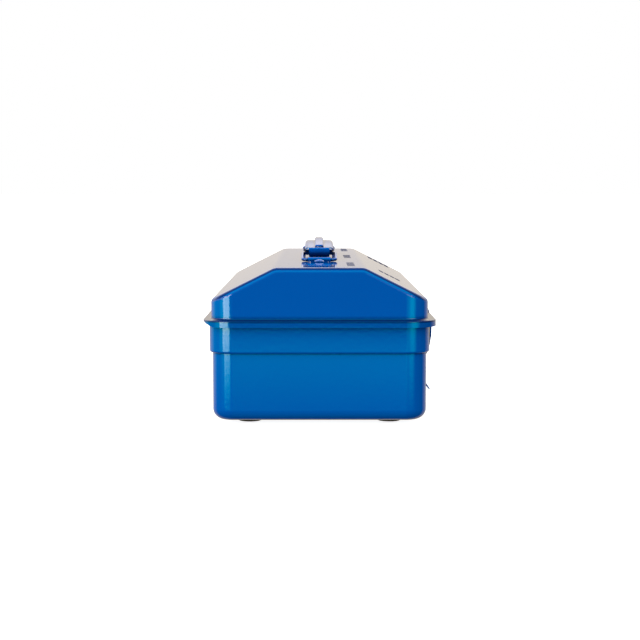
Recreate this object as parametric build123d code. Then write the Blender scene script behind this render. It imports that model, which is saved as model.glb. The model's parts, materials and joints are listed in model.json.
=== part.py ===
from build123d import *
import math
import os

# Camber-top pressed-steel tool box. Millimetres, +Z up, X along the box, latches on -Y, hinges on +Y.
# The origin is on the floor under the centre of the whole box.

# Driving dimensions: shells
LENGTH = 359.0          # over the lid flange, along X
WIDTH = 163.0           # over the lid flange, along Y
SHEET = 0.8             # pressed steel sheet
FLOOR_Z = 3.3           # underside of the tub, held up by the feet
LEDGE_Z = 50.5          # outside of the step under the band
SEAM_Z = 72.9           # where the lid sits on the tub
LID_TOP_Z = 110.2
SHOULDER_Z = 87.8       # where the lid's walls meet its slopes
TOP_HALF = 31.2         # half width of the lid's flat top
SKIRT_Z = 69.0          # lower edge of the lid's turned-down skirt
LID_INSET = 5.6         # lid wall, band and lower wall, in from the flange edge
BAND_INSET = 4.5
WALL_INSET = 6.6
TUB_FLANGE = 1.9        # tub flange, in from the lid flange edge
WALL_RADIUS = 15.0      # plan corner of the lower wall
BOTTOM_RADIUS = 7.5
LEDGE_RADIUS = 1.6
ROOF_RADIUS = 4.0       # round the roof's outline
RIDGE_RADIUS = 10.0     # where the slopes meet the flat top
FLANGE_RADIUS = 0.75    # outer top edge of the flange
BEND_RADIUS = 1.4       # lid wall into flange
# How the skirt runs out at the rear corners, where the lid must turn: (y, z) along its lower edge
SKIRT_TAPER = ((74.0, SKIRT_Z), (78.0, 70.8), (79.2, 71.35), (81.3, SEAM_Z))
BEYOND_Y = 90.0         # past everything on the box
BELOW_SKIRT_Z = 66.7
ABOVE_SEAM_Z = 74.9

# Rear hinges
HINGE_X = 62.0
HINGE_Y = 79.4
HINGE_Z = SEAM_Z + 0.05
KNUCKLE_R = 1.9
HINGE_PIN_R = 1.0
RUNNING = 0.05          # radial clearance of every running pin
HINGE_HALF = 15.0
MID_KNUCKLE_HALF = 6.5
KNUCKLE_GAP = 0.3
TUB_LEAF_Z = (60.95, 69.95)
LID_LEAF_Z = (75.95, 83.95)
LEAF_ARM = 1.2          # how far up the strip each bent arm takes hold
LEAF_NECK = (0.9, 0.6)  # the arm's end, in and out from the knuckle's axis
LEAF_NOTCH = 1.4        # extra gap round the other leaf's knuckles
PIN_HEAD_R = 1.6
PIN_HEAD = 0.8
PIN_END = 0.3           # pin length past the outer knuckles
HINGE_GAP_Y = 77.15     # how far the flanges are cut back at the rear and round a hinge
HINGE_GAP_SIDE = 1.6    # gap in the lid flange at each end of a hinge

# Draw latches
LATCH_X = 83.5
LEVER_PIVOT = (-80.2, 51.6)
HOOK_PIVOT = (-79.4, 45.1)
LATCH_PIN_R = 1.0
PIN_RIM_R = 1.7         # the lever pin's heads
PIN_RIM = 0.6
PLATE_Z = (54.7, 67.2)  # the bracket's plate on the band
EAR_R = 2.0
EAR_ROOT_Z = 63.7       # how far up the plate the ears run
EAR_SLOPE = (1.4, 62.2)
LEVER_OUT_Y = -78.5     # the lever's web, outside and inside
LEVER_IN_Y = -75.9
LEVER_WEB = 1.0
LEVER_EYE_R = 1.9       # round the lever's pivot
LEVER_TOP_Z = 38.7      # where the web begins, under the hook's foot
LEVER_FOOT_Z = 21.2     # where the web flares into the finger tab
TAB_TIP = (-82.6, 15.4)
HOOK_EYE_R = 2.1
HOOK_SHEET = 1.0
HOOK_BOW = ((-83.0, 51.9), (-83.6, 60.2), (-83.3, 66.7))
HOOK_HALF = 8.0
CHEEK_HALF = 9.8        # outer face of the lever's cheeks
EAR_HALF = 11.2         # outer face of the bracket's ears
CURL = (-79.9, 75.0)    # centre of the hook's top curl
CURL_R = 1.4
NOTCH_HALF = 9.5        # gap in the lid flange for the hook
NOTCH_Y = 78.2

# Handle
GRIP_HALF = 77.0        # half length, along X
PLATE_HALF = 73.0       # half length of the full-width plate
GRIP_WIDTH = 22.0
GRIP_CORNER = 4.0
GRIP_TOP_Z = 120.3      # at the plate's ends
GRIP_CAMBER = 3.0       # how much higher the plate's middle is
GRIP_ROUND = 3.5        # the plate's long edges are rounded down this much, then cut off
GRIP_EDGE = 1.3         # how far below its top the plate's long edges end
GRIP_SHEET = 0.9
FOLD_WIDTH = 15.4
FOLD_HEIGHT = 7.2
FOLD_TOP_BEND = 1.2
FOLD_BOTTOM_BEND = 4.6
FOLD_INNER_X = 58.5     # where the folded-under tongue ends
RIB_HALF = 62.0
RIB_WIDTH = 6.9
RIB_ROUND = 1.5
RIB_END = 1.5           # the rib's height over the plate at its ends
RIB_RAMP_X = 46.0       # where the rib's end ramps start
RIB_SHOULDER = 3.2      # the rib's top there, and in the middle, over the plate's ends
RIB_CREST = 5.4
WIRE_R = 1.15
WIRE_GAP = 0.15         # between the ring's pivot bar and the lid
RING_WIDTH = 27.0       # over the wire
RING_BEND = 3.0
RING_OUTER_X = 84.5     # the ring's pivot bar, under the strap
RING_SPAN = 24.0        # between the centres of its two bars
RING_Z = LID_TOP_Z + WIRE_R + WIRE_GAP
RING_INNER_Z = 115.4    # the bar inside the grip's fold
STRAP_WIDTH = 17.0
STRAP_CORNER = 2.5
STRAP_SHEET = 0.7
STRAP_CLEAR = 0.15
FOOT_OUTER_X = 97.0
FOOT_INNER_X = 72.5
RIVET_R = 4.0
RIVET_SHANK_R = 1.6
RIVET_DOME = 1.4
RIVET_TAIL_R = 2.6
RIVET_TAIL = 0.8
RIVET_OUTER_X = 92.0
RIVET_INNER_X = 77.0

# Feet and tray
FOOT_X = 144.5
FOOT_Y = 49.5
FOOT_R = 9.5
FOOT_FLAT_R = 8.1
FOOT_ROUND = 1.0
PLUG_R = 3.0
PLUG_LIP = 1.2          # how far the plug's head spreads, and its height
PLUG_HEAD = 1.6
TRAY_CLEAR = 1.2        # between the tray's wall and the inside of the band
TRAY_SHEET = 0.7
TRAY_HEIGHT = 17.0
TRAY_RIM = 1.5
TRAY_BEND = 0.5
FINGER_R = 11.0

HALF_X = LENGTH / 2
HALF_Y = WIDTH / 2
FRONT_REACH = 83.6      # the hook plates' outer face
Y_SHIFT = (FRONT_REACH - HALF_Y) / 2
CREASE = 0.01           # tolerance for picking faces and edges
FAR = 1.0               # how far a cutting shape runs past what it cuts
THROUGH = 6.0           # height of a shape that cuts through one sheet
HULL_POINTS = 24        # points round each circle when an outline is drawn round several


def upright(edge):
    """True for an edge that runs along Z."""
    return abs((edge % 0.5).Z) > 1 - CREASE


def along_y(edge):
    """True for an edge that runs along Y."""
    return abs((edge % 0.5).Y) > 1 - CREASE


def rounded_prism(inset, radius, low, high):
    """A block with rounded plan corners, a constant distance inside the flange edge."""
    plan = RectangleRounded(2 * (HALF_X - inset), 2 * (HALF_Y - inset), radius)
    return Pos(0, 0, low) * extrude(plan, high - low)


def corner(inset):
    """Plan corner radius of the wall that stands that far inside the flange edge."""
    return WALL_RADIUS + WALL_INSET - inset


def block(x, y, z):
    """A plain block between two limits on each axis."""
    size = [limits[1] - limits[0] for limits in (x, y, z)]
    middle = [sum(limits) / 2 for limits in (x, y, z)]
    return Pos(*middle) * Box(*size)


def rod(centre, radius, half, axis_x):
    """A rod along X about a (y, z) centre."""
    turned = Rot(0, 90, 0) * Cylinder(radius, 2 * half)
    return Pos(axis_x, centre[0], centre[1]) * turned


def yz_plate(face, half, middle_x=0.0):
    """A profile drawn in Y and Z, given a width along X."""
    plate = extrude(Plane.YZ * face, half, both=True)
    return Pos(middle_x, 0, 0) * plate


def both_sides(make, reach):
    """The same piece at -X and +X."""
    return {"left": make(-reach), "right": make(reach)}


def tub_form(inset, top):
    """The tub's outside, or its inside when inset is the sheet's thickness."""
    wall = rounded_prism(WALL_INSET + inset, corner(WALL_INSET) - inset,
                         FLOOR_Z + inset, LEDGE_Z + inset)
    wall = fillet(wall.faces().sort_by(Axis.Z)[0].edges(), BOTTOM_RADIUS - inset)
    band = rounded_prism(BAND_INSET + inset, corner(BAND_INSET) - inset, LEDGE_Z + inset, top)
    if inset == 0:
        band = fillet(band.faces().sort_by(Axis.Z)[0].edges(), LEDGE_RADIUS)
        wall += rounded_prism(WALL_INSET, corner(WALL_INSET), LEDGE_Z - FAR, LEDGE_Z + LEDGE_RADIUS)
    return wall + band


def hinge_gap(x):
    """The gap in the lid's flange and skirt round a hinge."""
    half = HINGE_HALF + HINGE_GAP_SIDE
    return block((x - half, x + half), (HINGE_GAP_Y, BEYOND_Y), (BELOW_SKIRT_Z, SEAM_Z + SHEET + CREASE))


def foot_places():
    """Where the four feet stand."""
    return [Pos(x, y, 0) for x in (-FOOT_X, FOOT_X) for y in (-FOOT_Y, FOOT_Y)]


def make_tub():
    """The stepped tub with its top flange."""
    flange = rounded_prism(TUB_FLANGE, corner(TUB_FLANGE), SEAM_Z - SHEET, SEAM_Z)
    flange -= block((-HALF_X, HALF_X), (HINGE_GAP_Y, BEYOND_Y), (BELOW_SKIRT_Z, ABOVE_SEAM_Z))
    tub = tub_form(0, SEAM_Z) + flange - tub_form(SHEET, SEAM_Z + FAR)
    for place in foot_places():
        tub -= place * Pos(0, 0, FLOOR_Z) * Cylinder(PLUG_R, THROUGH)
    return tub


def make_feet():
    """Four push-in rubber feet: low domes with a plug through the floor."""
    inside = FLOOR_Z + SHEET
    outline = Polyline((0, 0), (FOOT_FLAT_R, 0), (FOOT_R, FLOOR_Z), (PLUG_R, FLOOR_Z),
                       (PLUG_R, inside), (PLUG_R + PLUG_LIP, inside), (PLUG_R, inside + PLUG_HEAD),
                       (0, inside + PLUG_HEAD), close=True)
    foot = revolve(Plane.XZ * make_face(outline), Axis.Z)
    rim = foot.edges().filter_by(GeomType.CIRCLE).filter_by(lambda e: e.radius > FOOT_FLAT_R - CREASE)
    foot = fillet(rim.sort_by(Axis.Z)[0], FOOT_ROUND)
    return Compound([place * foot for place in foot_places()])


def roof_profile(inset, low):
    """The lid's section: two walls, two slopes and the flat top."""
    slope = math.atan2(LID_TOP_Z - SHOULDER_Z, HALF_Y - LID_INSET - TOP_HALF)
    wall = HALF_Y - LID_INSET - inset
    shoulder = SHOULDER_Z + inset * math.tan(slope) - inset / math.cos(slope)
    top = LID_TOP_Z - inset
    ridge = wall - (top - shoulder) / math.tan(slope)
    return make_face(Polyline((-wall, low), (-wall, shoulder), (-ridge, top), (ridge, top),
                              (wall, shoulder), (wall, low), close=True))


def lid_form(inset, low):
    """The lid's outside, or its inside when inset is the sheet's thickness."""
    roof = yz_plate(roof_profile(inset, low), HALF_X)
    roof &= rounded_prism(LID_INSET + inset, corner(LID_INSET) - inset, low, LID_TOP_Z + FAR)
    ridges = [e for e in roof.edges().filter_by(Axis.X) if e.center().Z > LID_TOP_Z - inset - CREASE]
    roof = fillet(ridges, RIDGE_RADIUS - inset)
    outline = [e for e in roof.edges() if on_roof_outline(e, inset)]
    return fillet(outline, ROOF_RADIUS - inset)


def on_roof_outline(edge, inset):
    """True for the edges where the walls and ends meet the roof."""
    middle = edge @ 0.5
    at_wall = abs(middle.Y) > HALF_Y - LID_INSET - inset - CREASE
    at_end = abs(middle.X) > HALF_X - corner(0)
    high = middle.Z > SHOULDER_Z - inset
    return high and (at_wall or at_end) and not upright(edge)


def make_lid():
    """The lid: camber-top shell, flange and turned-down skirt."""
    flange_top = SEAM_Z + SHEET
    solid = rounded_prism(0, corner(0), SKIRT_Z, flange_top)
    solid = fillet(solid.faces().sort_by(Axis.Z)[-1].edges(), FLANGE_RADIUS)
    solid += lid_form(0, SEAM_Z)
    bend = [e for e in solid.edges() if abs(e.center().Z - flange_top) < CREASE
            and abs(e.center().X) < HALF_X - LID_INSET + CREASE
            and abs(e.center().Y) < HALF_Y - LID_INSET + CREASE]
    solid = fillet(bend, BEND_RADIUS)
    hollow = rounded_prism(SHEET, corner(SHEET), SKIRT_Z - FAR, SEAM_Z)
    lid = solid - hollow - lid_form(SHEET, SKIRT_Z - FAR)
    lid -= skirt_taper()
    for side in (-1, 1):
        lid -= hinge_gap(side * HINGE_X)
        notch = (side * LATCH_X - NOTCH_HALF, side * LATCH_X + NOTCH_HALF)
        lid -= block(notch, (-BEYOND_Y, -NOTCH_Y), (BELOW_SKIRT_Z, ABOVE_SEAM_Z))
    for x in rivet_places():
        lid -= Pos(x, 0, LID_TOP_Z) * Cylinder(RIVET_SHANK_R, THROUGH)
    return lid


def skirt_taper():
    """What is cut from the skirt as it runs out at the rear corners."""
    taper = Polyline((SKIRT_TAPER[0][0], BELOW_SKIRT_Z), *SKIRT_TAPER, (BEYOND_Y, SEAM_Z),
                     (BEYOND_Y, BELOW_SKIRT_Z), close=True)
    return yz_plate(make_face(taper), HALF_X + FAR)


def knuckle(x, half, bore):
    """One curl of a hinge leaf, bored for the pin."""
    place = (HINGE_Y, HINGE_Z)
    return rod(place, KNUCKLE_R, half, x), rod(place, bore, half + FAR, x)


def leaf_web(wall_y, near_z, far_z):
    """A hinge leaf's section: a flat strip on the wall, bent out to the knuckle."""
    low, high = sorted((near_z, far_z))
    strip = make_face(Polyline((wall_y, low), (wall_y + SHEET, low), (wall_y + SHEET, high),
                               (wall_y, high), close=True))
    away = math.copysign(1, near_z - HINGE_Z)
    hold = near_z + away * LEAF_ARM
    neck = HINGE_Z + away * KNUCKLE_R / 2
    inward, outward = LEAF_NECK
    arm = make_face(Polyline((wall_y, near_z), (wall_y, hold), (wall_y + SHEET, hold),
                             (HINGE_Y + outward, neck + away * SHEET / 2), (HINGE_Y - inward, neck),
                             close=True))
    return strip + arm


def make_tub_leaf(x):
    """The hinge leaf welded to the tub's band, with the middle knuckle."""
    curl, bore = knuckle(x, MID_KNUCKLE_HALF, HINGE_PIN_R)
    wall_y = HALF_Y - BAND_INSET
    web = yz_plate(leaf_web(wall_y, TUB_LEAF_Z[1], TUB_LEAF_Z[0]), HINGE_HALF, x)
    for side in (-1, 1):
        limits = sorted((x + side * MID_KNUCKLE_HALF, x + side * (HINGE_HALF + FAR)))
        web -= block(limits, (wall_y - FAR, BEYOND_Y), (TUB_LEAF_Z[1] - LEAF_NOTCH, LID_LEAF_Z[1]))
    return web + curl - bore


def make_lid_leaf(x):
    """The hinge leaf welded to the lid's rear wall, with the two outer knuckles."""
    wall_y = HALF_Y - LID_INSET
    web = yz_plate(leaf_web(wall_y, *LID_LEAF_Z), HINGE_HALF, x)
    gap = MID_KNUCKLE_HALF + KNUCKLE_GAP
    web -= block((x - gap, x + gap), (wall_y - FAR, BEYOND_Y), (TUB_LEAF_Z[0], LID_LEAF_Z[0] + LEAF_NOTCH))
    half = (HINGE_HALF - gap) / 2
    for side in (-1, 1):
        curl, bore = knuckle(x + side * (gap + half), half, HINGE_PIN_R + RUNNING)
        web = web + curl - bore
    return web


def make_hinge_pin(x):
    """A hinge pin with a small domed head at each end."""
    place = (HINGE_Y, HINGE_Z)
    reach = HINGE_HALF + PIN_END
    pin = rod(place, HINGE_PIN_R, reach, x)
    for side in (-1, 1):
        head = rod(place, PIN_HEAD_R, PIN_HEAD / 2, x + side * (reach + PIN_HEAD / 2))
        outer = head.faces().sort_by(Axis.X)[0 if side < 0 else -1]
        pin += fillet(outer.edges(), PIN_HEAD / 2)
    return pin


def hull(circles, corners=()):
    """The outline round some circles and points, in Y and Z."""
    points = list(corners)
    for (y, z), radius in circles:
        for step in range(HULL_POINTS):
            turn = math.tau * step / HULL_POINTS
            points.append((y + radius * math.cos(turn), z + radius * math.sin(turn)))
    return make_hull(Polyline(*points, close=True).edges())


def make_bracket(x):
    """The latch bracket: a plate on the band with two ears that hold the lever's pin."""
    face_y = -(HALF_Y - BAND_INSET)
    plate = block((x - EAR_HALF, x + EAR_HALF), (face_y - SHEET, face_y), PLATE_Z)
    root = [(face_y, PLATE_Z[0]), (face_y, EAR_ROOT_Z), (face_y - EAR_SLOPE[0], EAR_SLOPE[1])]
    ear = hull([(LEVER_PIVOT, EAR_R)], root)
    for side in (-1, 1):
        plate += yz_plate(ear, SHEET / 2, x + side * (EAR_HALF - SHEET / 2))
    return plate - rod(LEVER_PIVOT, LATCH_PIN_R, EAR_HALF + FAR, x)


def make_lever_pin(x):
    """The lever's pivot pin, headed outside the ears."""
    pin = rod(LEVER_PIVOT, LATCH_PIN_R, EAR_HALF, x)
    for side in (-1, 1):
        pin += rod(LEVER_PIVOT, PIN_RIM_R, PIN_RIM / 2, x + side * (EAR_HALF + PIN_RIM / 2))
    return pin


def lever_cheek():
    """A lever cheek's outline: round both pins, then narrow beside the web."""
    eye_y, eye_z = HOOK_PIVOT
    upper = hull([(LEVER_PIVOT, LEVER_EYE_R)],
                 [(eye_y - HOOK_EYE_R, eye_z), (LEVER_OUT_Y, LEVER_TOP_Z), (LEVER_IN_Y, LEVER_TOP_Z),
                  (eye_y + HOOK_EYE_R, eye_z + FAR)])
    lower = make_face(Polyline((LEVER_OUT_Y, LEVER_TOP_Z + FAR), (LEVER_IN_Y, LEVER_TOP_Z + FAR),
                               (LEVER_IN_Y, LEVER_FOOT_Z + FAR), (LEVER_OUT_Y + LEVER_WEB, LEVER_FOOT_Z),
                               (LEVER_OUT_Y, LEVER_FOOT_Z), close=True))
    return upper + lower


def make_lever(x):
    """The latch lever: a channel with two cheeks and a flared finger tab."""
    inner_y = LEVER_OUT_Y + LEVER_WEB
    tip_y, tip_z = TAB_TIP
    web = make_face(Polyline((LEVER_OUT_Y, LEVER_TOP_Z), (inner_y, LEVER_TOP_Z),
                             (inner_y, LEVER_FOOT_Z - FAR),
                             (tip_y + LEVER_WEB / 2, tip_z - LEVER_WEB / 2), TAB_TIP,
                             (LEVER_OUT_Y, LEVER_FOOT_Z), close=True))
    lever = yz_plate(web, CHEEK_HALF, x)
    for side in (-1, 1):
        lever += yz_plate(lever_cheek(), SHEET / 2, x + side * (CHEEK_HALF - SHEET / 2))
    lever -= rod(LEVER_PIVOT, LATCH_PIN_R + RUNNING, CHEEK_HALF + FAR, x)
    return lever - rod(HOOK_PIVOT, LATCH_PIN_R, CHEEK_HALF + FAR, x)


def make_hook_pin(x):
    """The pin that carries the hook in the lever's cheeks."""
    return rod(HOOK_PIVOT, LATCH_PIN_R, CHEEK_HALF, x)


def make_hook(x):
    """The hook plate: curled round its pin at the foot, with a rolled lip over the flange."""
    foot_y, foot_z = HOOK_PIVOT[0] - HOOK_EYE_R, HOOK_PIVOT[1]
    lip_y, lip_z = CURL[0] - CURL_R, CURL[1]
    bow_in = [(y + HOOK_SHEET, z) for y, z in reversed(HOOK_BOW)]
    outer = Spline((foot_y, foot_z), *HOOK_BOW, (lip_y, lip_z))
    inner = Spline((lip_y + HOOK_SHEET, lip_z), *bow_in, (foot_y + HOOK_SHEET, foot_z))
    plate = make_face([outer, Line(outer @ 1, inner @ 0), inner, Line(inner @ 1, outer @ 0)])
    hook = yz_plate(plate, HOOK_HALF, x)
    hook += rod(HOOK_PIVOT, HOOK_EYE_R, HOOK_HALF, x)
    hook += rod(CURL, CURL_R, HOOK_HALF, x)
    return hook - rod(HOOK_PIVOT, LATCH_PIN_R + RUNNING, HOOK_HALF + FAR, x)


def rivet_places():
    """Where the handle's four rivets go through the lid."""
    return [side * x for side in (-1, 1) for x in (RIVET_OUTER_X, RIVET_INNER_X)]


def make_rivet(x):
    """A domed rivet through a strap foot and the lid, upset inside."""
    seat = LID_TOP_Z + STRAP_SHEET
    inside = LID_TOP_Z - SHEET
    ball = (RIVET_R ** 2 + RIVET_DOME ** 2) / (2 * RIVET_DOME)
    dome = Pos(0, 0, seat + RIVET_DOME - ball) * Sphere(ball)
    wide = 2 * (RIVET_R + FAR)
    dome &= Pos(0, 0, seat + RIVET_DOME / 2) * Box(wide, wide, RIVET_DOME)
    shank = Pos(0, 0, (seat + inside) / 2) * Cylinder(RIVET_SHANK_R, seat - inside)
    tail = Pos(0, 0, inside - RIVET_TAIL / 2) * Cylinder(RIVET_TAIL_R, RIVET_TAIL)
    return Pos(x, 0, 0) * (dome + shank + tail)


def make_rivets():
    """All four handle rivets."""
    return Compound([make_rivet(x) for x in rivet_places()])


def strap_tube(radius, half, low):
    """A round-topped bar along Y over the ring's pivot, down to a level."""
    tube = Pos(RING_OUTER_X, 0, RING_Z) * Rot(90, 0, 0) * Cylinder(radius, 2 * half)
    limits = (RING_OUTER_X - radius, RING_OUTER_X + radius)
    return tube + block(limits, (-half, half), (low, RING_Z))


def make_strap(side):
    """The saddle strap over a ring's pivot bar, with a foot each way."""
    half = STRAP_WIDTH / 2
    low, high = LID_TOP_Z, LID_TOP_Z + STRAP_SHEET
    inner = WIRE_R + STRAP_CLEAR
    foot = block((FOOT_INNER_X, FOOT_OUTER_X), (-half, half), (low, high))
    strap = foot + strap_tube(inner + STRAP_SHEET, half, low)
    strap -= strap_tube(inner, half + FAR, low - FAR)
    strap -= block((0, HALF_X), (-BEYOND_Y, BEYOND_Y), (0, low))
    ends = [e for e in strap.edges().filter_by(Axis.Z) if abs(e.center().Y) > half - CREASE
            and e.center().Z < high and not FOOT_INNER_X + FAR < e.center().X < FOOT_OUTER_X - FAR]
    strap = fillet(ends, STRAP_CORNER)
    for x in (RIVET_OUTER_X, RIVET_INNER_X):
        strap -= Pos(x, 0, low) * Cylinder(RIVET_SHANK_R, THROUGH)
    return strap if side > 0 else mirror(strap, Plane.YZ)


def make_ring(side):
    """A bent wire ring from the strap's tunnel to the grip's fold."""
    rise = math.asin((RING_INNER_Z - RING_Z) / RING_SPAN)
    half_y = RING_WIDTH / 2 - WIRE_R
    line = RectangleRounded(RING_SPAN, 2 * half_y, RING_BEND).wire()
    start = line.edges().filter_by(Axis.Y)[0]
    section = Plane(start @ 0.5, z_dir=start % 0.5) * Circle(WIRE_R)
    ring = sweep(section, path=line)
    place = Pos(RING_OUTER_X, 0, RING_Z) * Rot(0, math.degrees(rise), 0)
    ring = place * Pos(-RING_SPAN / 2, 0, 0) * ring
    return ring if side > 0 else mirror(ring, Plane.YZ)


def cambered(half, z):
    """A line along X at a height, flat at both ends and raised in the middle."""
    edge = FOLD_INNER_X
    return [Line((-half, z), (-edge, z)), ThreePointArc((-edge, z), (0, z + GRIP_CAMBER), (edge, z)),
            Line((edge, z), (half, z))]


def xz_plate(face, half):
    """A profile drawn in X and Z, given a width along Y."""
    return extrude(Plane.XZ * face, half, both=True)


def plate_form(inset):
    """The grip plate's outside or inside, as a deep bar with rounded long edges."""
    top, low = GRIP_TOP_Z - inset, GRIP_TOP_Z - THROUGH
    half = PLATE_HALF + inset
    section = make_face([*cambered(half, top), Line((half, top), (half, low)),
                         Line((half, low), (-half, low)), Line((-half, low), (-half, top))])
    reach = GRIP_ROUND - math.sqrt(GRIP_ROUND ** 2 - (GRIP_ROUND - GRIP_EDGE) ** 2)
    bar = xz_plate(section, GRIP_WIDTH / 2 + reach - inset)
    long_edges = [e for e in bar.edges() if e.center().Z > top - CREASE and not along_y(e)]
    return fillet(long_edges, GRIP_ROUND - inset)


def make_grip():
    """The hand grip: a cambered plate with a raised rib, its narrowed ends folded under."""
    edge_z, low = GRIP_TOP_Z - GRIP_EDGE, GRIP_TOP_Z - GRIP_SHEET
    below = make_face([*cambered(GRIP_HALF, edge_z), Line((GRIP_HALF, edge_z), (GRIP_HALF, edge_z - THROUGH)),
                       Line((GRIP_HALF, edge_z - THROUGH), (-GRIP_HALF, edge_z - THROUGH)),
                       Line((-GRIP_HALF, edge_z - THROUGH), (-GRIP_HALF, edge_z))])
    plan = RectangleRounded(2 * PLATE_HALF, GRIP_WIDTH, GRIP_CORNER)
    plate = plate_form(0) - plate_form(GRIP_SHEET) - xz_plate(below, GRIP_WIDTH)
    plate &= Pos(0, 0, edge_z - FAR) * extrude(plan, THROUGH)
    tongue = xz_plate(fold_section(), FOLD_WIDTH / 2)
    grip = plate + tongue + mirror(tongue, Plane.YZ)
    grip += rib(0.0, cambered(RIB_HALF, GRIP_TOP_Z - GRIP_SHEET / 2))
    return grip - rib(GRIP_SHEET, [Line((-RIB_HALF, low - FAR), (RIB_HALF, low - FAR))])


def fold_section():
    """The fold's section in X and Z: along the plate, round the end and back under."""
    outline = Polyline((FOLD_INNER_X, GRIP_TOP_Z), (GRIP_HALF, GRIP_TOP_Z),
                       (GRIP_HALF, GRIP_TOP_Z - FOLD_HEIGHT), (FOLD_INNER_X, GRIP_TOP_Z - FOLD_HEIGHT),
                       (FOLD_INNER_X, GRIP_TOP_Z - FOLD_HEIGHT + GRIP_SHEET),
                       (GRIP_HALF - GRIP_SHEET, GRIP_TOP_Z - FOLD_HEIGHT + GRIP_SHEET),
                       (GRIP_HALF - GRIP_SHEET, GRIP_TOP_Z - GRIP_SHEET),
                       (FOLD_INNER_X, GRIP_TOP_Z - GRIP_SHEET), close=True)
    section = make_face(outline)
    bends = {0: (FOLD_TOP_BEND, FOLD_BOTTOM_BEND),
             GRIP_SHEET: (FOLD_TOP_BEND - GRIP_SHEET, FOLD_BOTTOM_BEND - GRIP_SHEET)}
    for inset, (upper, lower) in bends.items():
        end = [v for v in section.vertices() if abs(v.X - GRIP_HALF + inset) < CREASE]
        section = fillet(max(end, key=lambda v: v.Y), upper)
        end = [v for v in section.vertices() if abs(v.X - GRIP_HALF + inset) < CREASE]
        section = fillet(min(end, key=lambda v: v.Y), lower)
    return section


def rib(inset, seat):
    """The rib's outside or inside: a bar with round ends, a humped top and a ramp at each end."""
    top, half = GRIP_TOP_Z - inset, RIB_HALF
    crest = [Line((half, top + RIB_END), (RIB_RAMP_X, top + RIB_SHOULDER)),
             ThreePointArc((RIB_RAMP_X, top + RIB_SHOULDER), (0, top + RIB_CREST),
                           (-RIB_RAMP_X, top + RIB_SHOULDER)),
             Line((-RIB_RAMP_X, top + RIB_SHOULDER), (-half, top + RIB_END))]
    foot_z = (seat[0] @ 0).Y
    section = make_face([*seat, Line((half, foot_z), crest[0] @ 0), *crest,
                         Line(crest[-1] @ 1, (-half, foot_z))])
    width = RIB_WIDTH - 2 * inset
    plan = RectangleRounded(2 * (half - inset), width, width / 2 - CREASE)
    bar = Pos(0, 0, foot_z) * extrude(plan, THROUGH + FAR)
    bar &= xz_plate(section, RIB_WIDTH)
    upper = [f for f in bar.faces() if f.normal_at(f.center()).Z > 0.5]
    rim = [e for f in upper for e in f.edges() if not along_y(e)]
    return fillet(rim, RIB_ROUND - inset / 2)


def make_tray():
    """The lift-out tray that stands on the tub's ledge."""
    inset = BAND_INSET + SHEET + TRAY_CLEAR
    low = LEDGE_Z + SHEET
    top = low + TRAY_HEIGHT
    tray = rounded_prism(inset, corner(inset), low, top)
    tray = fillet(tray.faces().sort_by(Axis.Z)[0].edges(), TRAY_BEND)
    rim = inset + TRAY_RIM
    wall = inset + TRAY_SHEET
    tray -= rounded_prism(rim, corner(rim), top - TRAY_RIM, top + FAR)
    tray -= rounded_prism(wall, corner(wall), low + TRAY_SHEET, top - TRAY_RIM)
    for side in (-1, 1):
        tray -= Pos(side * (HALF_X - inset), 0, top) * Rot(0, 90, 0) * Cylinder(FINGER_R, THROUGH)
    return tray


def all_nodes():
    """Every sub-part by name."""
    nodes = {"base_tub": make_tub(), "rubber_feet": make_feet(), "lid_shell": make_lid(),
             "handle_rivets": make_rivets(), "grip": make_grip(), "inner_tray": make_tray()}
    pairs = [("tub_hinge_leaf", make_tub_leaf, HINGE_X), ("lid_hinge_leaf", make_lid_leaf, HINGE_X),
             ("hinge_pin", make_hinge_pin, HINGE_X), ("latch_bracket", make_bracket, LATCH_X),
             ("lever_pin", make_lever_pin, LATCH_X), ("latch_lever", make_lever, LATCH_X),
             ("hook_pin", make_hook_pin, LATCH_X), ("latch_hook", make_hook, LATCH_X),
             ("handle_strap", make_strap, 1), ("handle_ring", make_ring, 1)]
    for name, make, reach in pairs:
        for side, piece in both_sides(make, reach).items():
            nodes[name + "_" + side] = piece
    return nodes


def main():
    """Write one STEP file for each sub-part."""
    os.makedirs("parts", exist_ok=True)
    for name, shape in all_nodes().items():
        placed = Pos(0, Y_SHIFT, 0) * shape
        placed.label = name
        export_step(placed, os.path.join("parts", name + ".step"))


main()
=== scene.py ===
"""Looks for the camber-top tool box: materials, added small pieces, studio and camera."""
import json
import math

import bmesh
import bpy
from mathutils import Matrix, Vector
from mathutils.bvhtree import BVHTree


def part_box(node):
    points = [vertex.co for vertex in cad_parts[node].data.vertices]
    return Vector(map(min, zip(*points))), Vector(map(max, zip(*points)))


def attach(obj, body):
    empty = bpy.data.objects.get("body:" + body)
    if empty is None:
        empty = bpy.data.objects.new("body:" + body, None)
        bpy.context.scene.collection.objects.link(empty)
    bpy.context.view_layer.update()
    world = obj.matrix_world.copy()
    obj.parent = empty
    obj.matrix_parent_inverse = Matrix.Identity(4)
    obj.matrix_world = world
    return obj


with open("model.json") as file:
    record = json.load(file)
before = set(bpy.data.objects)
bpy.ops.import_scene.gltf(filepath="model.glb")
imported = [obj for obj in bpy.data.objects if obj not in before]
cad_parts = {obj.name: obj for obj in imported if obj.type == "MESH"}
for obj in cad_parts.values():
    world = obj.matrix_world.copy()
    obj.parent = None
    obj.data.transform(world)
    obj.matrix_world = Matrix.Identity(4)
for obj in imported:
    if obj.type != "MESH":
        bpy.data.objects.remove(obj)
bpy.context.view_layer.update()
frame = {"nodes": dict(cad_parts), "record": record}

# Paint colours, linear
ENAMEL = (0.0, 0.13, 0.575, 1)
ENAMEL_DEEP = (0.0, 0.108, 0.51, 1)
INK = (0.002, 0.012, 0.07, 1)
INK_WORN = (0.004, 0.03, 0.13, 1)
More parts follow.
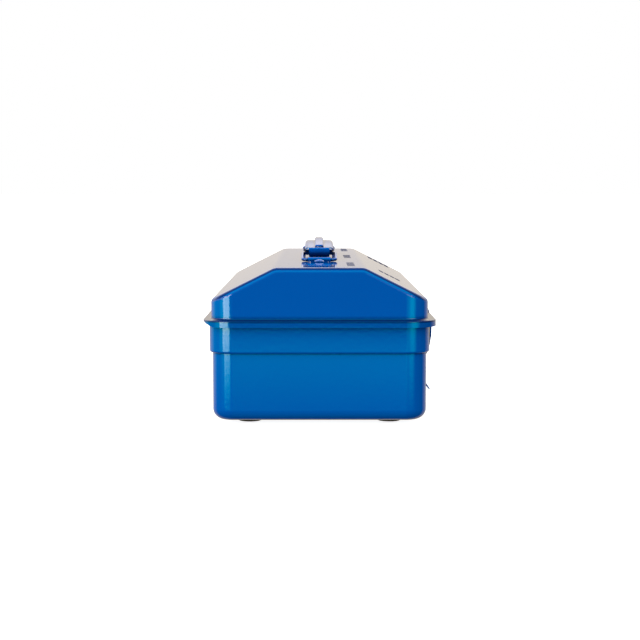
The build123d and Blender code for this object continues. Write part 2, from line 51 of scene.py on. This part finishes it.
RUBBER = (0.012, 0.012, 0.014, 1)
STEEL = (0.55, 0.56, 0.58, 1)
# Painted shade in creases, from ambient occlusion: its colour, how far it reaches (metres), and the openness
# over which it gives way
PAINTED_SHADE = (0.0, 0.022, 0.13, 1)
SHADE_REACH = 0.005
# painted shade reaches further on the handle and latches
HANDLE_SHADE_REACH = 0.018
LATCH_COAT = 0.3
SHADE_OPEN = (0.5, 0.88)
# Heights on the lid, in metres: the rim below the first and up to the last gets painted shade
RIM_LINE = (0.0724, 0.0745)
RIM_SOFT = 0.0003
RIM_SHADE_AMOUNT = (0.25, 0.85)               # how deep on the rim's face, and in the line over it
# Painted shade on the bend at each end of the roof: where it starts and ends, by how far it faces the end
BEND_IN = (0.2, 0.4)
BEND_OUT = (0.74, 0.86)
BEND_UP = (0.1, 0.3)
BEND_SHADE_AMOUNT = 0.8

# Fine patterns: each noise is its scale, per metre, and its detail;
# each spread is the noise from and to, and the value that it gives from and to
TONE_NOISE = (14.0, 3.0)
TONE_SPREAD = (0.35, 0.65, 0.0, 0.16)
ROUGH_NOISE = (60.0, 4.0)
ROUGH_SPREAD = (0.3, 0.75, 0.16, 0.24)
PEEL_NOISE = (420.0, 2.0)
PEEL_BUMP = (0.05, 0.0004)             # each bump is its strength and its distance in metres
COAT_ROUGH = 0.05
COAT_IOR = 1.5
FULL_SPREAD = (0.3, 0.7, 0.0, 1.0)
RUBBER_DUSTY = (0.02, 0.02, 0.022, 1)
RUBBER_NOISE = (90.0, 2.0)
GRAIN_NOISE = (900.0, 3.0)
GRAIN_SPREAD = (0.3, 0.7, 0.55, 0.75)
GRAIN_BUMP = (0.3, 0.0002)
RUBBER_SHINE = 0.1
STEEL_DULL = (0.42, 0.43, 0.45, 1)
STEEL_NOISE = (120.0, 3.0)
STREAK_NOISE = (700.0, 2.0)
STREAK_SPREAD = (0.3, 0.7, 0.22, 0.4)
STREAK_BUMP = (0.1, 0.0001)
INK_NOISE = (300.0, 3.0)
INK_ROUGH = 0.7
INK_SHINE = 0.1

# Printed marks on the lid, in metres: three rows of bars on the flat top, two panels on the front slope
CORNER_STEPS = 4
SHARP_ANGLE = math.radians(40)
BEVEL_PART = 0.3
MARK_BEVEL = 0.00003
ROW_CORNER = 0.0008
PANEL_CORNER = 0.0006
ROW_X = (-0.125, 0.0, 0.128)
ROW_Y = -0.0213
ROW_BARS = 7
ROW_STEP = 0.0078
ROW_BAR = (0.0027, 0.0055)
PANEL_BARS = 4
# Each panel: its place along the lid, its first bar's place across, the step, and a bar's length and width
PANELS = ((-0.082, -0.0452, 0.0041, 0.017, 0.0037), (0.13, -0.0445, 0.0047, 0.034, 0.0042))
MARK_RISE = 0.00006
PROBE_START = 0.02                     # how far off a surface its probing rays start

# Spot welds and pressed beads, in metres
WELD_IN = 0.0035
WELD_SPREAD = 0.0095
WELD_R = 0.0021
WELD_RISE = 0.00025
DOME_LEVELS = 6
DOME_SIDES = 20
DOME_FOOT = 1.2                        # over 1 it softens a dome's foot
# Each set of beads: height of its middle over the piece's lowest point, and the beads' places across it
HOOK_BEAD = (0.0155, (-0.0042, 0.0042))
LEVER_BEAD = (0.0165, (-0.0045, 0.0, 0.0045))
BEAD = (0.009, 0.0022, 0.00035, 0.00108, 0.0003)    # length, width, rise, corner, bevel

# Camera, in metres, degrees and, for the lens and sensor, millimetres, in the row frame
CAMERA_PLACE = Vector((-1.2076, 0.0040, 0.1643))
CAMERA_PITCH = 4.985
CAMERA_YAW = -0.178
CAMERA_LENS = 84.6
CAMERA_SENSOR = 36.0

# Studio: the floor's half size, its white and how much of it is its own light
FLOOR_HALF = 40.0
FLOOR_WHITE = (0.9, 0.9, 0.9, 1)
FLOOR_GLOW = 0.93
# What the gloss mirrors: pale light beyond the box, a pale ceiling, a low glow in front
BEYOND_TINT = (0.82, 0.735, 0.6)
BEYOND_NEAR = (0.25, 0.7)
BEYOND_RISE = (0.12, 0.35, 1.0, 2.4)   # from the first height to the second it grows by this much
CEILING = 0.7
CEILING_UP = (0.3, 0.9)
CEILING_NEAR = (-0.2, 0.7, 0.06)    # towards -X, from the second direction to the first, it fades to this
GLOW = 1.6
GLOW_TURN = (0.22, 0.3)             # full within the first of these angles from -X, gone at the second
GLOW_RISE = (-0.089, -0.11)
GLOW_FALL = (-0.112, -0.154)
GLOW_LEFT = 0.1
# Each softbox: strength, middle direction, half width and soft edge in radians round Z from -X
LEFT_BOX = (8.2, 0.62, 0.24, 0.1)
LEFT_WASH = (1.0, 1.3, 0.75, 0.4)
LEFT_SPILL = (1.8, 1.02, 0.1, 0.2)
RIGHT_BOX = (3.6, -0.56, 0.11, 0.3)
BOX_FOOT = (-0.152, -0.09)          # the softboxes fade out between these heights
BOX_HEAD = (0.15, 0.4)
RED_LOSS = 4.2                      # how much weaker the red of the light in front is, low down
HEAD_STRIP = 1.6                    # a strip high in front, between these heights, with no red in it
HEAD_RISE = (0.35, 0.5)
HEAD_FALL = (0.8, 0.92)
HEAD_NEAR = (-0.5, -0.3)
RED_FADE = (-0.03, 0.03)            # between these heights the light in front turns white
# Diffuse light: a white dome, brighter on the left and dim below
DOME_LEAN = (-1.0, 0.5, 0.52, 1.35)     # right and left directions, and the light from each
DOME_FALL = (-0.02, -0.7)               # heights at which the dome has stepped down, and has faded
DOME_BELOW = (0.75, 0.1)                # what is left of it at each


# ---------------------------------------------------------------- node helpers


def new_material(name):
    """A material with an empty node tree, its output and a Principled shader."""
    material = bpy.data.materials.new(name)
    material.use_nodes = True
    tree = material.node_tree
    tree.nodes.clear()
    output = tree.nodes.new("ShaderNodeOutputMaterial")
    shader = tree.nodes.new("ShaderNodeBsdfPrincipled")
    tree.links.new(shader.outputs["BSDF"], output.inputs["Surface"])
    return material, tree, shader


def noise(tree, coords, scale, detail):
    """A noise texture on object coordinates."""
    node = tree.nodes.new("ShaderNodeTexNoise")
    node.inputs["Scale"].default_value = scale
    node.inputs["Detail"].default_value = detail
    tree.links.new(coords, node.inputs["Vector"])
    return node.outputs["Fac"]


def remap(tree, value, low, high, to_low, to_high):
    """Value from low..high to to_low..to_high, clamped."""
    node = tree.nodes.new("ShaderNodeMapRange")
    for name, number in zip(("From Min", "From Max", "To Min", "To Max"), (low, high, to_low, to_high)):
        node.inputs[name].default_value = number
    tree.links.new(value, node.inputs["Value"])
    return node.outputs["Result"]


def mix_colour(tree, factor, first, second):
    """A mix of two colours, each a constant or a socket."""
    node = tree.nodes.new("ShaderNodeMix")
    node.data_type = "RGBA"
    for socket, colour in ((node.inputs[6], first), (node.inputs[7], second)):
        if isinstance(colour, tuple):
            socket.default_value = colour
        else:
            tree.links.new(colour, socket)
    tree.links.new(factor, node.inputs[0])
    return node.outputs[2]


def maths(tree, operation, first, second):
    """A maths node on two values, each a constant or a socket."""
    node = tree.nodes.new("ShaderNodeMath")
    node.operation = operation
    for socket, value in zip(node.inputs, (first, second)):
        if isinstance(value, (int, float)):
            socket.default_value = value
        else:
            tree.links.new(value, socket)
    return node.outputs[0]


def product(tree, *factors):
    """All the factors multiplied together."""
    total = factors[0]
    for factor in factors[1:]:
        total = maths(tree, "MULTIPLY", total, factor)
    return total


def bump(tree, height, strength, distance):
    """A bump from a height."""
    node = tree.nodes.new("ShaderNodeBump")
    node.inputs["Strength"].default_value = strength
    node.inputs["Distance"].default_value = distance
    tree.links.new(height, node.inputs["Height"])
    return node.outputs["Normal"]


def coordinates(tree, kind="Object"):
    """Coordinates of one kind; the object ones are the row frame's for every piece here."""
    return tree.nodes.new("ShaderNodeTexCoord").outputs[kind]


def parts_of(tree, vector):
    """A vector's three parts, by name."""
    node = tree.nodes.new("ShaderNodeSeparateXYZ")
    tree.links.new(vector, node.inputs[0])
    return {output.name: output for output in node.outputs}


# ---------------------------------------------------------------- materials


def rim_painted_shade(tree, coords, colour):
    """Painted shade on the lid's rim and in the line where the wall meets it."""
    height = parts_of(tree, coords)["Z"]
    shade_on_rim = remap(tree, height, RIM_LINE[0] - RIM_SOFT, RIM_LINE[0], *RIM_SHADE_AMOUNT)
    under = remap(tree, height, RIM_LINE[1], RIM_LINE[1] + RIM_SOFT, 1.0, 0.0)
    return mix_colour(tree, product(tree, shade_on_rim, under), colour, PAINTED_SHADE)


def bend_painted_shade(tree, normal, colour):
    """Painted shade on the upper part of the bend between the roof and each end."""
    split = parts_of(tree, normal)
    endways = maths(tree, "ABSOLUTE", split["X"], 0.0)
    inner = remap(tree, endways, *BEND_IN, 0.0, BEND_SHADE_AMOUNT)
    outer = remap(tree, endways, *BEND_OUT, 1.0, 0.0)
    upward = remap(tree, split["Z"], *BEND_UP, 0.0, 1.0)
    return mix_colour(tree, product(tree, inner, outer, upward), colour, PAINTED_SHADE)


def make_enamel(name, reach=SHADE_REACH, coat=1.0, with_rim_shade=False):
    """Gloss baked enamel over pressed steel: orange peel, uneven tone and painted shade in the creases, from
    ambient occlusion.
    """
    material, tree, shader = new_material(name)
    coords = coordinates(tree)
    tone = noise(tree, coords, *TONE_NOISE)
    colour = mix_colour(tree, remap(tree, tone, *TONE_SPREAD), ENAMEL, ENAMEL_DEEP)
    # painted shade on the lid's rim and on the bends at the roof's ends
    if with_rim_shade:
        colour = rim_painted_shade(tree, coords, colour)
        colour = bend_painted_shade(tree, coordinates(tree, "Normal"), colour)
    # painted shade: the colour turns to the shade colour where ambient occlusion finds a crease or a nearby
    # piece
    occlusion = tree.nodes.new("ShaderNodeAmbientOcclusion")
    occlusion.inputs["Distance"].default_value = reach
    open_part = remap(tree, occlusion.outputs["AO"], *SHADE_OPEN, 0.0, 1.0)
    tree.links.new(mix_colour(tree, open_part, PAINTED_SHADE, colour), shader.inputs["Base Color"])
    rough = remap(tree, noise(tree, coords, *ROUGH_NOISE), *ROUGH_SPREAD)
    tree.links.new(rough, shader.inputs["Roughness"])
    shader.inputs["Specular IOR Level"].default_value = 0.0
    shader.inputs["Coat Weight"].default_value = coat
    shader.inputs["Coat Roughness"].default_value = COAT_ROUGH
    shader.inputs["Coat IOR"].default_value = COAT_IOR
    peel = bump(tree, noise(tree, coords, *PEEL_NOISE), *PEEL_BUMP)
    tree.links.new(peel, shader.inputs["Normal"])
    tree.links.new(peel, shader.inputs["Coat Normal"])
    return material


def make_rubber():
    """Matt black moulded rubber with a fine grain."""
    material, tree, shader = new_material("black_rubber")
    coords = coordinates(tree)
    grain = noise(tree, coords, *GRAIN_NOISE)
    tone = noise(tree, coords, *RUBBER_NOISE)
    colour = mix_colour(tree, remap(tree, tone, *FULL_SPREAD), RUBBER, RUBBER_DUSTY)
    tree.links.new(colour, shader.inputs["Base Color"])
    tree.links.new(remap(tree, grain, *GRAIN_SPREAD), shader.inputs["Roughness"])
    tree.links.new(bump(tree, grain, *GRAIN_BUMP), shader.inputs["Normal"])
    shader.inputs["Specular IOR Level"].default_value = RUBBER_SHINE
    return material


def make_steel():
    """Bright zinc-plated steel with turning marks."""
    material, tree, shader = new_material("plated_steel")
    coords = coordinates(tree)
    streak = noise(tree, coords, *STREAK_NOISE)
    tone = noise(tree, coords, *STEEL_NOISE)
    colour = mix_colour(tree, remap(tree, tone, *FULL_SPREAD), STEEL, STEEL_DULL)
    tree.links.new(colour, shader.inputs["Base Color"])
    shader.inputs["Metallic"].default_value = 1.0
    tree.links.new(remap(tree, streak, *STREAK_SPREAD), shader.inputs["Roughness"])
    tree.links.new(bump(tree, streak, *STREAK_BUMP), shader.inputs["Normal"])
    return material


def paint_nodes():
    """Give every CAD node its slot's finish, then the lid enamel with painted shade on its rim and roof
    bends, and the handle and latches enamel whose painted shade in crevices reaches further.
    """
    enamel = make_enamel("blue_enamel")
    finishes = {"blue_enamel": enamel, "tray_enamel": enamel,
                "black_rubber": make_rubber(), "plated_steel": make_steel()}
    slots = {part["node"]: part["material_slot"] for part in frame["record"]["subparts"]}
    for name, node in frame["nodes"].items():
        node.data.materials.clear()
        node.data.materials.append(finishes[slots[name]])
    # the lid: enamel with painted shade on its rim and roof bends
    frame["nodes"]["lid_shell"].data.materials[0] = make_enamel("rimmed_enamel", with_rim_shade=True)
    # handle and latches: painted shade reaching further into their crevices
    finishes["handle_enamel"] = make_enamel("handle_enamel", reach=HANDLE_SHADE_REACH)
    finishes["latch_enamel"] = make_enamel("latch_enamel", reach=HANDLE_SHADE_REACH, coat=LATCH_COAT)
    frame["nodes"]["grip"].data.materials[0] = finishes["handle_enamel"]
    for name, finish in (("handle_ring", "handle_enamel"), ("latch_hook", "latch_enamel"),
                         ("latch_lever", "latch_enamel")):
        for side in ("_left", "_right"):
            frame["nodes"][name + side].data.materials[0] = finishes[finish]
    return finishes


def make_ink():
    """Matt printing ink, for the marks on the lid."""
    material, tree, shader = new_material("print_ink")
    coords = coordinates(tree)
    tone = remap(tree, noise(tree, coords, *INK_NOISE), *FULL_SPREAD)
    tree.links.new(mix_colour(tree, tone, INK, INK_WORN), shader.inputs["Base Color"])
    shader.inputs["Roughness"].default_value = INK_ROUGH
    shader.inputs["Specular IOR Level"].default_value = INK_SHINE
    return material


# ---------------------------------------------------------------- added small pieces


def probe(node):
    """A function that gives a CAD node's surface point and normal from a start and a direction."""
    mesh = frame["nodes"][node].data
    tree = BVHTree.FromPolygons([v.co for v in mesh.vertices], [p.vertices for p in mesh.polygons])

    def look(start, direction):
        """The first point hit, and its outward normal."""
        place, normal, _, _ = tree.ray_cast(Vector(start), Vector(direction))
        return place, normal if normal.dot(Vector(direction)) < 0 else -normal
    return look


def on_surface(place, normal, along):
    """A matrix whose Z is the normal and whose X runs as nearly as it can along a direction."""
    side = normal.cross(Vector(along)).normalized()
    turned = Matrix((side.cross(normal), side, normal)).transposed()
    return Matrix.Translation(place) @ turned.to_4x4()


def add_slab(build, place, length, width, rise, radius, bevel):
    """A thin rounded rectangle with a bevelled top, standing on a surface."""
    rings = []
    part = bevel * BEVEL_PART
    for inset, height in ((0.0, -rise), (0.0, rise - bevel), (part, rise - part), (bevel, rise)):
        ring = []
        for corner, (sx, sy) in enumerate(((1, 1), (-1, 1), (-1, -1), (1, -1))):
            for step in range(CORNER_STEPS + 1):
                turn = math.pi / 2 * (corner + step / CORNER_STEPS)
                x = sx * (length / 2 - radius) + (radius - inset) * math.cos(turn)
                y = sy * (width / 2 - radius) + (radius - inset) * math.sin(turn)
                ring.append(build.verts.new(place @ Vector((x, y, height))))
        rings.append(ring)
    for lower, upper in zip(rings, rings[1:]):
        for i, corner in enumerate(lower):
            after = (i + 1) % len(lower)
            build.faces.new((corner, lower[after], upper[after], upper[i]))
    build.faces.new(rings[-1])
    build.faces.new(list(reversed(rings[0])))


def finish_piece(build, name, body, material):
    """Turn a bmesh into a smooth-shaded piece that rides on a body."""
    bmesh.ops.recalc_face_normals(build, faces=build.faces)
    mesh = bpy.data.meshes.new(name)
    build.to_mesh(mesh)
    build.free()
    piece = bpy.data.objects.new(name, mesh)
    bpy.context.scene.collection.objects.link(piece)
    mesh.materials.append(material)
    mesh.shade_smooth()
    mesh.set_sharp_from_angle(angle=SHARP_ANGLE)
    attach(piece, body)
    return piece


def make_marks(ink):
    """Plain printed bars on the lid: three rows on the flat top and two small panels on the front slope."""
    look = probe("lid_shell")
    start_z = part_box("lid_shell")[1].z + PROBE_START
    build = bmesh.new()
    for x in ROW_X:
        for step in range(ROW_BARS):
            place, normal = look((x + (step - ROW_BARS // 2) * ROW_STEP, ROW_Y, start_z), (0, 0, -1))
            add_slab(build, on_surface(place, normal, (1, 0, 0)), *ROW_BAR, MARK_RISE, ROW_CORNER, MARK_BEVEL)
    finish_piece(build, "mark_rows", "lid", ink)
    build = bmesh.new()
    for x, first, step, length, width in PANELS:
        for bar in range(PANEL_BARS):
            place, normal = look((x, first - bar * step, start_z), (0, 0, -1))
            add_slab(build, on_surface(place, normal, (1, 0, 0)), length, width, MARK_RISE, PANEL_CORNER,
                     MARK_BEVEL)
    finish_piece(build, "mark_panels", "lid", ink)


def add_dome(build, place, radius, rise):
    """A shallow round dome with a soft foot, standing on a surface."""
    around = DOME_SIDES
    rings = []
    for level in range(DOME_LEVELS + 1):
        out = 1 - level / (DOME_LEVELS + 1)
        height = rise * math.cos(math.pi / 2 * out) ** DOME_FOOT if level else -rise / 2
        rings.append([build.verts.new(place @ Vector((radius * out * math.cos(2 * math.pi * i / around),
                                                      radius * out * math.sin(2 * math.pi * i / around),
                                                      height))) for i in range(around)])
    for lower, upper in zip(rings, rings[1:]):
        for i in range(around):
            after = (i + 1) % around
            build.faces.new((lower[i], lower[after], upper[after], upper[i]))
    build.faces.new(rings[-1])
    build.faces.new(list(reversed(rings[0])))


def make_welds(enamel):
    """Small painted-over spot-weld domes on each hinge leaf."""
    for node, body in (("tub_hinge_leaf", "tub"), ("lid_hinge_leaf", "lid")):
        for side in ("left", "right"):
            name = node + "_" + side
            low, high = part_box(name)
            look = probe(name)
            z = low.z + WELD_IN if body == "tub" else high.z - WELD_IN
            build = bmesh.new()
            for shift in (-WELD_SPREAD, 0.0, WELD_SPREAD):
                place, normal = look(((low.x + high.x) / 2 + shift, high.y + PROBE_START, z), (0, -1, 0))
                add_dome(build, on_surface(place, normal, (1, 0, 0)), WELD_R, WELD_RISE)
            finish_piece(build, "weld_spots_" + body + "_" + side, body, enamel)


def make_beads(enamel):
    """Pressed stiffening beads on the latch hooks and levers."""
    for side in ("left", "right"):
        for node, body, rise_z, bars in (("latch_hook", "hook", *HOOK_BEAD),
                                         ("latch_lever", "lever", *LEVER_BEAD)):
            name = node + "_" + side
            low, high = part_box(name)
            look = probe(name)
            build = bmesh.new()
            for shift in bars:
                start = ((low.x + high.x) / 2 + shift, low.y - PROBE_START, low.z + rise_z)
                place, normal = look(start, (0, 1, 0))
                add_slab(build, on_surface(place, normal, (0, 0, 1)), *BEAD)
            finish_piece(build, body + "_beads_" + side, body + "_" + side, enamel)


# ---------------------------------------------------------------- studio


def make_floor():
    """A plain white floor that stays out of the enamel's mirror."""
    mesh = bpy.data.meshes.new("floor")
    build = bmesh.new()
    bmesh.ops.create_grid(build, x_segments=1, y_segments=1, size=FLOOR_HALF)
    build.to_mesh(mesh)
    build.free()
    floor = bpy.data.objects.new("floor", mesh)
    bpy.context.scene.collection.objects.link(floor)
    floor.visible_glossy = False
    floor.visible_diffuse = False
    material, tree, shader = new_material("floor_white")
    shader.inputs["Base Color"].default_value = FLOOR_WHITE
    shader.inputs["Roughness"].default_value = 1.0
    shader.inputs["Specular IOR Level"].default_value = 0.0
    shader.inputs["Emission Color"].default_value = (1, 1, 1, 1)
    shader.inputs["Emission Strength"].default_value = FLOOR_GLOW
    mesh.materials.append(material)


def softbox(tree, turn, tilt, strength, middle, half, edge):
    """A soft-edged window of light in the world, round a compass direction."""
    near = maths(tree, "ABSOLUTE", maths(tree, "SUBTRACT", turn, middle), 0.0)
    across = remap(tree, near, half, half + edge, strength, 0.0)
    bottom = remap(tree, tilt, *BOX_FOOT, 0.0, 1.0)
    top = remap(tree, tilt, *BOX_HEAD, 1.0, 0.0)
    return product(tree, across, bottom, top)


def mirrored_light(tree, along, across, up):
    """The colour the gloss sees in a direction."""
    turn = maths(tree, "ARCTAN2", across, maths(tree, "MULTIPLY", along, -1.0))
    near = remap(tree, maths(tree, "ABSOLUTE", turn, 0.0), *GLOW_TURN, GLOW, 0.0)
    front = product(tree, near, remap(tree, up, *GLOW_RISE, 0.0, 1.0),
                    remap(tree, up, *GLOW_FALL, 1.0, GLOW_LEFT))
    for box in (LEFT_BOX, LEFT_WASH, LEFT_SPILL, RIGHT_BOX):
        front = maths(tree, "ADD", front, softbox(tree, turn, up, *box))
    loss = remap(tree, up, *RED_FADE, RED_LOSS, 0.0)
    strip = product(tree, remap(tree, along, *HEAD_NEAR, HEAD_STRIP, 0.0),
                    remap(tree, up, *HEAD_RISE, 0.0, 1.0), remap(tree, up, *HEAD_FALL, 1.0, 0.0))
    reddish = maths(tree, "MAXIMUM", maths(tree, "SUBTRACT", front, loss), 0.0)
    front = maths(tree, "ADD", front, strip)
    beyond = product(tree, remap(tree, along, *BEYOND_NEAR, 0.0, 1.0), remap(tree, up, *BEYOND_RISE))
    fade = remap(tree, along, CEILING_NEAR[0], CEILING_NEAR[1], CEILING_NEAR[2], 1.0)
    ceiling = product(tree, fade, remap(tree, up, *CEILING_UP, 0.0, CEILING))
    pale = maths(tree, "MAXIMUM", beyond, ceiling)
    colour = tree.nodes.new("ShaderNodeCombineColor")
    for channel, tint, part in zip(colour.inputs, BEYOND_TINT, (reddish, front, front)):
        tree.links.new(maths(tree, "ADD", maths(tree, "MULTIPLY", pale, tint), part), channel)
    return colour.outputs[0]


def background(tree, colour, strength):
    """A background shader; either input is a constant or a socket."""
    node = tree.nodes.new("ShaderNodeBackground")
    for socket, value in zip(node.inputs, (colour, strength)):
        if isinstance(value, bpy.types.NodeSocket):
            tree.links.new(value, socket)
        else:
            socket.default_value = value
    return node.outputs[0]


def choose(tree, factor, first, second):
    """One shader or the other."""
    node = tree.nodes.new("ShaderNodeMixShader")
    for socket, value in zip(node.inputs, (factor, first, second)):
        tree.links.new(value, socket)
    return node.outputs[0]


def make_world():
    """Three worlds in one: what the camera sees, what the gloss mirrors, and the diffuse dome."""
    world = bpy.data.worlds.new("studio")
    bpy.context.scene.world = world
    world.use_nodes = True
    tree = world.node_tree
    tree.nodes.clear()
    output = tree.nodes.new("ShaderNodeOutputWorld")
    along, across, up = parts_of(tree, coordinates(tree, "Generated")).values()
    white = (1.0, 1.0, 1.0, 1.0)
    lean = remap(tree, across, *DOME_LEAN)
    low = remap(tree, up, *DOME_FALL, 1.0, DOME_BELOW[1])
    step = remap(tree, up, 0.0, DOME_FALL[0], 1.0, DOME_BELOW[0])
    dome = background(tree, white, product(tree, lean, low, step))
    gloss = background(tree, mirrored_light(tree, along, across, up), 1.0)
    path = tree.nodes.new("ShaderNodeLightPath").outputs
    lit = choose(tree, path["Is Glossy Ray"], dome, gloss)
    seen = choose(tree, path["Is Camera Ray"], lit, background(tree, white, 1.0))
    tree.links.new(seen, output.inputs["Surface"])


def make_camera():
    """The camera at the photo's viewing angle: at the near end, looking along the box."""
    data = bpy.data.cameras.new("camera")
    data.lens = CAMERA_LENS
    data.sensor_width = CAMERA_SENSOR
    camera = bpy.data.objects.new("camera", data)
    bpy.context.scene.collection.objects.link(camera)
    camera.location = CAMERA_PLACE
    camera.rotation_euler = (math.radians(90 - CAMERA_PITCH), 0, math.radians(-90 + CAMERA_YAW))
    bpy.context.scene.camera = camera


bpy.context.scene.view_settings.view_transform = "Standard"
make_camera()
make_floor()
make_world()
finishes = paint_nodes()
make_marks(make_ink())
make_welds(finishes["blue_enamel"])
make_beads(finishes["latch_enamel"])
